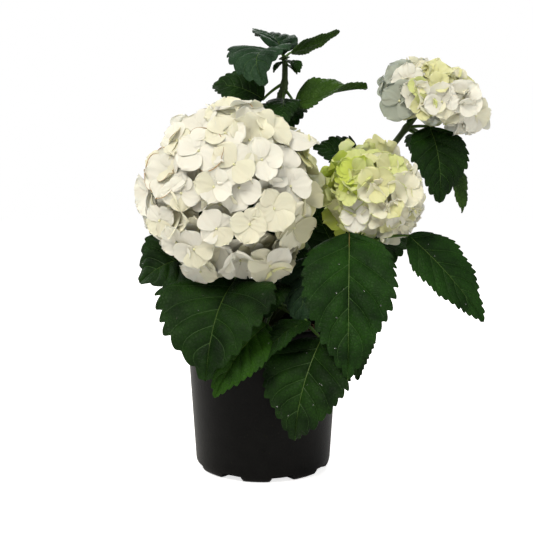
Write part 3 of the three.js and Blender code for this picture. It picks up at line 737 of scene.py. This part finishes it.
def tintsFor(name, direction, depth, random):
    # Deeper florets, and the large head's top-right ones, turn greener as painted shade in recesses and creases.
    if name == "large":
        green = 0.1 + 5 * depth + 1.0 * random.random() ** 2 + 1.2 * max(direction.z + direction.x - 0.9, 0)
    elif name == "medium":
        green = 2.1 - 1.7 * direction.x + 0.3 * direction.z + 0.2 * direction.y + 4 * depth + random.random() - 0.5
    else:
        green = 0.9 + 1.2 * direction.z - 1.3 * abs(direction.x + 0.2) + 5 * depth + 1.8 * (random.random() - 0.5)
    step = int(min(max(green, 0), 4))
    # Painted shade: florets on the upper head's left take a grey tint.
    if name == "upper" and direction.x < -0.72:
        return "paintedShadeGrey", "paintedShadeGrey"
    # Painted shade: florets on the large head's right and lower right take a darker, warm grey tint.
    if name == "large" and (direction.x > 0.8 or direction.x > 0.3 and direction.z < -0.5):
        return "paintedShadeWarm", "cream"
    return petalScale[step], petalScale[max(step - 1, 0) if green - step < 0.5 else min(step + 1, 4)]


# New directions that fall in the widest gaps left between the ones already taken.
def gapDirections(spec, taken, count, random):
    lowest = math.cos(math.radians(spec["spread"]))
    taken = [np.array(direction) for direction in taken]
    for _ in range(count):
        tries = unit(random.standard_normal((160, 3)))
        tries = tries[tries[:, 2] > lowest]
        nearest = (tries @ np.array(taken).T).max(axis=1)
        taken.append(tries[nearest.argmin()])
        yield Vector(taken[-1])


def growBloom(name, spec, stem):
    draws = numbersFrom(spec["seed"])
    random, frontRandom = np.random.default_rng(spec["variety"]), np.random.default_rng(spec["variety"] + 100)
    centre, span = Vector(spec["middle"]), Vector(spec["radii"])
    leaning = Euler([math.radians(a) for a in spec["lean"]] + [0.0], "XYZ").to_quaternion()
    tip = pointOn(stem["through"], 1)
    petals, hearts, stalks = {}, newBatch(), newBatch()
    rims = {"withered": newBatch(), "lime": newBatch()}

    # The head isn't a ball: each swell lifts or sinks the florets that lie round its direction.
    def onHead(direction, share):
        for toward, height, width in spec["swells"]:
            share *= 1 + height * math.exp(-(direction.angle(Vector(toward)) / width) ** 2)
        return leaning @ Vector([a * b * share for a, b in zip(direction, span)]) + centre

    fronts = []
    for floret in frontFlorets[name]:
        across, up = floret["place"]
        ahead = math.sqrt(max(1 - (across / span.x) ** 2 - (up / span.z) ** 2, 0.02)) * span.y
        spot = leaning.inverted() @ Vector((across, -ahead, up))
        direction = Vector([a / b for a, b in zip(spot, span)]).normalized()
        fronts.append((direction, floret["size"] / max(span)))
        face = leaning @ Vector([a / b / b for a, b in zip(spot, span)]).normalized() + Vector(floret["face"])
        outward = np.array(face.normalized())
        side = unit(np.cross((0.0, 0.0, 1.0), outward))
        world = np.stack([side, np.cross(outward, side), outward], -1)
        rim = None
        if floret["rim"]:
            rim = {"sepals": rimmedSepals[floret["rim"]], "width": rimRule["witheredWidth"],
                   "batch": rims[floret["rim"]]}
        at = onHead(direction, 1 + floret["raised"] - spec["sunk"])
        growFloret(np.array(at), world, floret["size"], -math.radians(floret["turn"]), petals, floret["tints"], hearts,
                   frontRandom, rim, {**floret["habit"], "heart": spec["habit"]["heart"]}, 0)

    outer = list(bloomDirections(spec))
    fillers = list(gapDirections(spec, outer, round(spec["florets"] * spec["crowd"]), random))
    inner = list(gapDirections(spec, outer + fillers, round(spec["florets"] * floretRule["innerShare"]), random))
    layers = zip((outer, fillers, inner), (*spec["finer"], floretRule["innerSize"]), layerRule)
    for detail, (directions, scale, layer) in enumerate(layers, 1):
        for direction in directions:
            sideways, upward, spin, deep, big = (next(draws) for _ in range(5))
            at = onHead(direction, (1 - floretRule["push"] * deep) * (1 - layer["depth"] - spec["sunk"]))
            outward = leaning @ Vector([a / b for a, b in zip(direction, span)]).normalized()
            outward = Quaternion((0, 0, 1), math.radians(layer["tilt"]) * (2 * sideways - 1)) @ outward
            outward = Quaternion((1, 0, 0), math.radians(layer["tilt"]) * (2 * upward - 1)) @ outward
            if any(direction.angle(front) < width * layer["clear"] for front, width in fronts):
                continue
            turn = np.array(Vector((0, 1, 0)).rotation_difference(outward).to_matrix())
            world = turn @ np.array([[1, 0, 0], [0, 0, 1], [0, -1, 0]], float)
            tints = tintsFor(name, direction, layer["depth"], random)
            rim = None
            weathered = name == "large" and direction.x < -0.2 and direction.z > 0.1
            if weathered and random.random() < rimRule["witheredShare"]:
                rim = {"sepals": set(random.integers(4, size=2)), "width": rimRule["witheredWidth"],
                       "batch": rims["withered"]}
            greening = name != "large" and tints[0] in ("ivory", "cream", "pale")
            if greening and random.random() < rimRule["limeShare"]:
                rim = {"sepals": range(4), "width": rimRule["limeWidth"], "batch": rims["lime"]}
            radius = spec["size"] * (floretRule["smallest"] + floretRule["growth"] * big) * scale
            growFloret(np.array(at), world, radius, spin * 2 * math.pi, petals, tints, hearts, random, rim,
                       spec["habit"], detail)
            inside = np.array(onHead(direction, floretRule["jointDepth"]))
            joint = inside * floretRule["jointShare"] + tip * (1 - floretRule["jointShare"])
            path = arc(tip, joint, np.array(at), floretRule["stalkSteps"])
            addTube(stalks, path, np.linspace(*floretRule["stalkRadius"], len(path)), 6, np.array([0.42, 0.3, 0.21]))
    for stray in spec["strays"]:
        direction = Vector(stray["from"]).normalized()
        outward, toward = np.array(leaning @ direction), np.array(stray["toward"], float)
        along = unit(toward - outward * (toward @ outward))
        place = np.stack([along, np.cross(outward, along), outward], -1)
        addSepal(petals.setdefault(stray["tint"], newBatch()), sepalGrid(stray["length"], stray["form"], 0), place,
                 np.array(onHead(direction, 1.0)))
    node = f"bloom_{name}"
    for tint, batch in petals.items():
        makePiece(f"{node}_petals_{tint}", batch, petalSkin[tint], node)
    makePiece(f"{node}_hearts", hearts, heartSkin, node)
    makePiece(f"{node}_flowerStalks", stalks, stalkSkin, node)
    for tint, skin in (("withered", witheredSkin), ("lime", petalSkin["pale"])):
        if rims[tint]["count"]:
            makePiece(f"{node}_{tint}Rims", rims[tint], skin, node)


for bloomName, bloomSpec in blooms.items():
    growBloom(bloomName, bloomSpec, stems[bloomName])
print("blooms grown")

# The pot is moulded black polypropylene: satin, a little uneven, with a turned-down lip and a notched foot. Its section
# runs out along the base, up the wall, over the lip and back down inside; foot and lip are given from heel and rim.
pot = {
    "heelRadius": 71.5, "heelHeight": 9, "neckRadius": 80, "neckHeight": 146, "ringPitch": 6, "sides": 256,
    "foot": [(-69.5, 0), (-41.5, 0), (-16.5, 0), (-9, 0), (-5, 0.5), (-2.5, 1.8), (-1.1, 4), (-0.5, 6.5), (0, 9)],
    "lipRadius": 84, "height": 155,
    "lip": [(-4.4, -10.5), (-3.8, -9.4), (-1.8, -9), (-0.5, -8.4), (0, -7), (0.1, -5), (0, -2.5), (-0.7, -0.8),
            (-2, 0), (-4, 0), (-5.4, -0.4), (-6.1, -1.6), (-6.3, -5)],
    "inside": [(77.3, 140), (75, 100), (72, 50), (69.3, 10.5), (67, 9), (40, 9), (2, 9)],
    "notches": 8, "notchTurn": 17, "notchWidth": 24, "notchHeight": 5.5, "notchRings": (3, 8), "notchEdge": 2.5,
    "footHeight": 6.5, "warp": 0.25, "warpFrom": 60,
}
slant = (pot["neckRadius"] - pot["heelRadius"]) / (pot["neckHeight"] - pot["heelHeight"])
profile = [(pot["heelRadius"] + out, z) for out, z in pot["foot"]]
profile += [(pot["heelRadius"] + slant * (z - pot["heelHeight"]), z) for z in range(14, 145, pot["ringPitch"])]
profile += [(pot["lipRadius"] + out, pot["height"] + up) for out, up in pot["lip"]] + pot["inside"]
profile = np.array(profile, float)
angles = anglesOf(pot["sides"])
radius = profile[:, 0][:, None] * np.ones(pot["sides"])
height = profile[:, 1][:, None] * np.ones(pot["sides"])
spacing = 360 / pot["notches"]
fromNotch = (np.degrees(angles) - pot["notchTurn"] + spacing / 2) % spacing - spacing / 2
halfNotch = math.degrees(pot["notchWidth"] / 2 / pot["heelRadius"])
inNotch = 1 / (1 + np.exp((np.abs(fromNotch) - halfNotch) * pot["notchEdge"]))
cut = slice(*pot["notchRings"])
lowPart = np.clip(1 - profile[cut, 1] / pot["footHeight"], 0, 1)[:, None] ** 0.4
height[cut] += inNotch * pot["notchHeight"] * lowPart
outOfRound = pot["warp"] * np.sin(2 * angles + 0.6)[None] * (profile[:, 1] / pot["height"])[:, None]
radius = radius + outOfRound * (profile[:, 0] > pot["warpFrom"])[:, None]
batch = newBatch()
addRings(batch, np.stack([radius * np.cos(angles), radius * np.sin(angles), height], -1), flip=True)
potSkin = grainedMaterial("mouldedBlackPlastic", "#020202", "#0c0c0b", 1.6, 11, bump=0.5, roughness=0.4, gloss=0.12)
makePiece("pot_shell", batch, potSkin, "pot")

# Potting mix: dull crumbs of peat that hide the light, with paler chips of bark lying on it.
soil = {"radius": 76.4, "edge": 139, "middle": 143, "floor": 10, "rings": 70, "sides": 160, "crumb": 1.5,
        "crumbSize": 5.0, "sunk": 0.6}
ringRadius = np.linspace(0.02, 1, soil["rings"]) * soil["radius"]
angles = anglesOf(soil["sides"])
x, y = ringRadius[:, None] * np.cos(angles), ringRadius[:, None] * np.sin(angles)
dome = soil["edge"] + (soil["middle"] - soil["edge"]) * (1 - (ringRadius / soil["radius"]) ** 2)[:, None]
rough = np.array([[noise.fractal(Vector((a, b, 0)) / soil["crumbSize"], 0.8, 2.1, 4) for a, b in zip(xs, ys)]
                  for xs, ys in zip(x, y)])
top = np.stack([x, y, dome + rough * soil["crumb"] - soil["sunk"]], -1)
foot = np.stack([x[-1] * 0.9, y[-1] * 0.9, np.full_like(x[-1], soil["floor"])], -1)[None]
batch = newBatch()
addRings(batch, np.concatenate([top, foot]))
soilSkin = grainedMaterial("moistPeat", "#1d140d", "#3b2a1c", 2.2, 6, bump=1.0, roughness=0.95)
makePiece("soil_bed", batch, soilSkin, "potting_soil")
chips = {"count": 900, "reach": 74, "length": (1.2, 4.2), "width": (1, 2.6), "thickness": (0.6, 1.3), "tilt": 0.5,
         "edge": 139.6, "rise": 4, "wholeRadius": 76.6, "chipped": 0.25}
chipSkin = grainedMaterial("compostedBark", "#3a2717", "#6a4a2c", 1.8, 5, bump=0.9, roughness=0.9)
cube = np.array([(a, b, c) for a in (-1, 1) for b in (-1, 1) for c in (-1, 1)], float)
sides = np.array([(0, 1, 3, 2), (4, 6, 7, 5), (0, 4, 5, 1), (2, 3, 7, 6), (0, 2, 6, 4), (1, 5, 7, 3)])
batch = newBatch()
for _ in range(chips["count"]):
    reach, turn = math.sqrt(random.random()) * chips["reach"], random.random() * 2 * math.pi
    size = np.array([random.uniform(*chips[side]) for side in ("length", "width", "thickness")])
    corners = cube * size * (1 + chips["chipped"] * random.standard_normal((8, 3)))
    tilts = random.uniform(-chips["tilt"], chips["tilt"], 2).tolist() + [random.uniform(0, 6.3)]
    spin = np.array(Euler(tilts, "XYZ").to_matrix())
    lying = chips["edge"] + chips["rise"] * (1 - (reach / chips["wholeRadius"]) ** 2)
    addPart(batch, corners @ spin.T + np.array([reach * math.cos(turn), reach * math.sin(turn), lying]), [sides])
makePiece("soil_barkChips", batch, chipSkin, "potting_soil")
print("pot and soil ready")

# A pale seamless floor, white surroundings and soft light from high on the left.
stage = {"half": 4, "paper": "#f7f5f2", "paperGlow": 0.74, "surroundings": 0.3, "lightsAimAt": (0.03, 0, 0.22)}
mesh = bpy.data.meshes.new("floor")
mesh.from_pydata([(x * stage["half"], y * stage["half"], 0) for x, y in ((-1, -1), (1, -1), (1, 1), (-1, 1))], [],
                 [(0, 1, 2, 3)])
addObject("floor", mesh)
floorSkin = emptyMaterial("studioPaper")
seen = addNode(floorSkin, "ShaderNodeLightPath").outputs["Is Camera Ray"]
glow = addNode(floorSkin, "ShaderNodeMath", {"operation": "MULTIPLY"}, {0: seen})
glow.inputs[1].default_value = stage["paperGlow"]
paper = addNode(floorSkin, "ShaderNodeBsdfPrincipled",
                {"Base Color": linear(stage["paper"]), "Roughness": 0.9, "Emission Color": (1, 1, 1, 1)},
                {"Emission Strength": glow.outputs[0]})
addNode(floorSkin, "ShaderNodeOutputMaterial", None, {"Surface": paper.outputs["BSDF"]})
mesh.materials.append(floorSkin)

world = bpy.data.worlds.new("studio")
bpy.context.scene.world = world
world.use_nodes = True
background = world.node_tree.nodes["Background"]
background.inputs["Color"].default_value = (1, 1, 1, 1)
seen = addNode(world, "ShaderNodeLightPath").outputs["Is Camera Ray"]
strength = addNode(world, "ShaderNodeMapRange", {"To Min": stage["surroundings"], "To Max": 1.0}, {"Value": seen})
world.node_tree.links.new(strength.outputs["Result"], background.inputs["Strength"])

lights = [
    {"name": "key", "at": (-0.45, -1.05, 1.45), "power": 22, "size": 0.7, "colour": "#fffbf3"},
    {"name": "fill", "at": (1.1, -1.0, 0.8), "power": 4.5, "size": 1.0, "colour": "#ffffff"},
    {"name": "back", "at": (0.3, 1.3, 1.3), "power": 15, "size": 1.0, "colour": "#ffffff"},
    {"name": "backLeft", "at": (-1.2, 0.8, 0.9), "power": 7, "size": 0.9, "colour": "#ffffff"},
]
for light in lights:
    data = bpy.data.lights.new(light["name"], "AREA")
    data.energy, data.size, data.color = light["power"], light["size"], linear(light["colour"])[:3]
    lamp = addObject(light["name"], data)
    lamp.location = light["at"]
    lamp.rotation_euler = (Vector(stage["lightsAimAt"]) - lamp.location).to_track_quat("-Z", "Y").to_euler()

camera = {"target": (0.0037, 0.0, 0.2113), "elevation": 6.5, "distance": 0.977, "lens": 62.8}
lens = bpy.data.cameras.new("camera")
lens.lens = camera["lens"]
viewer = addObject("camera", lens)
rise = math.radians(camera["elevation"])
viewer.location = Vector(camera["target"]) + Vector((0, -math.cos(rise), math.sin(rise))) * camera["distance"]
viewer.rotation_euler = (math.radians(90 - camera["elevation"]), 0, 0)
bpy.context.scene.camera = viewer
bpy.context.scene.view_settings.view_transform = "Standard"
print("studio ready")
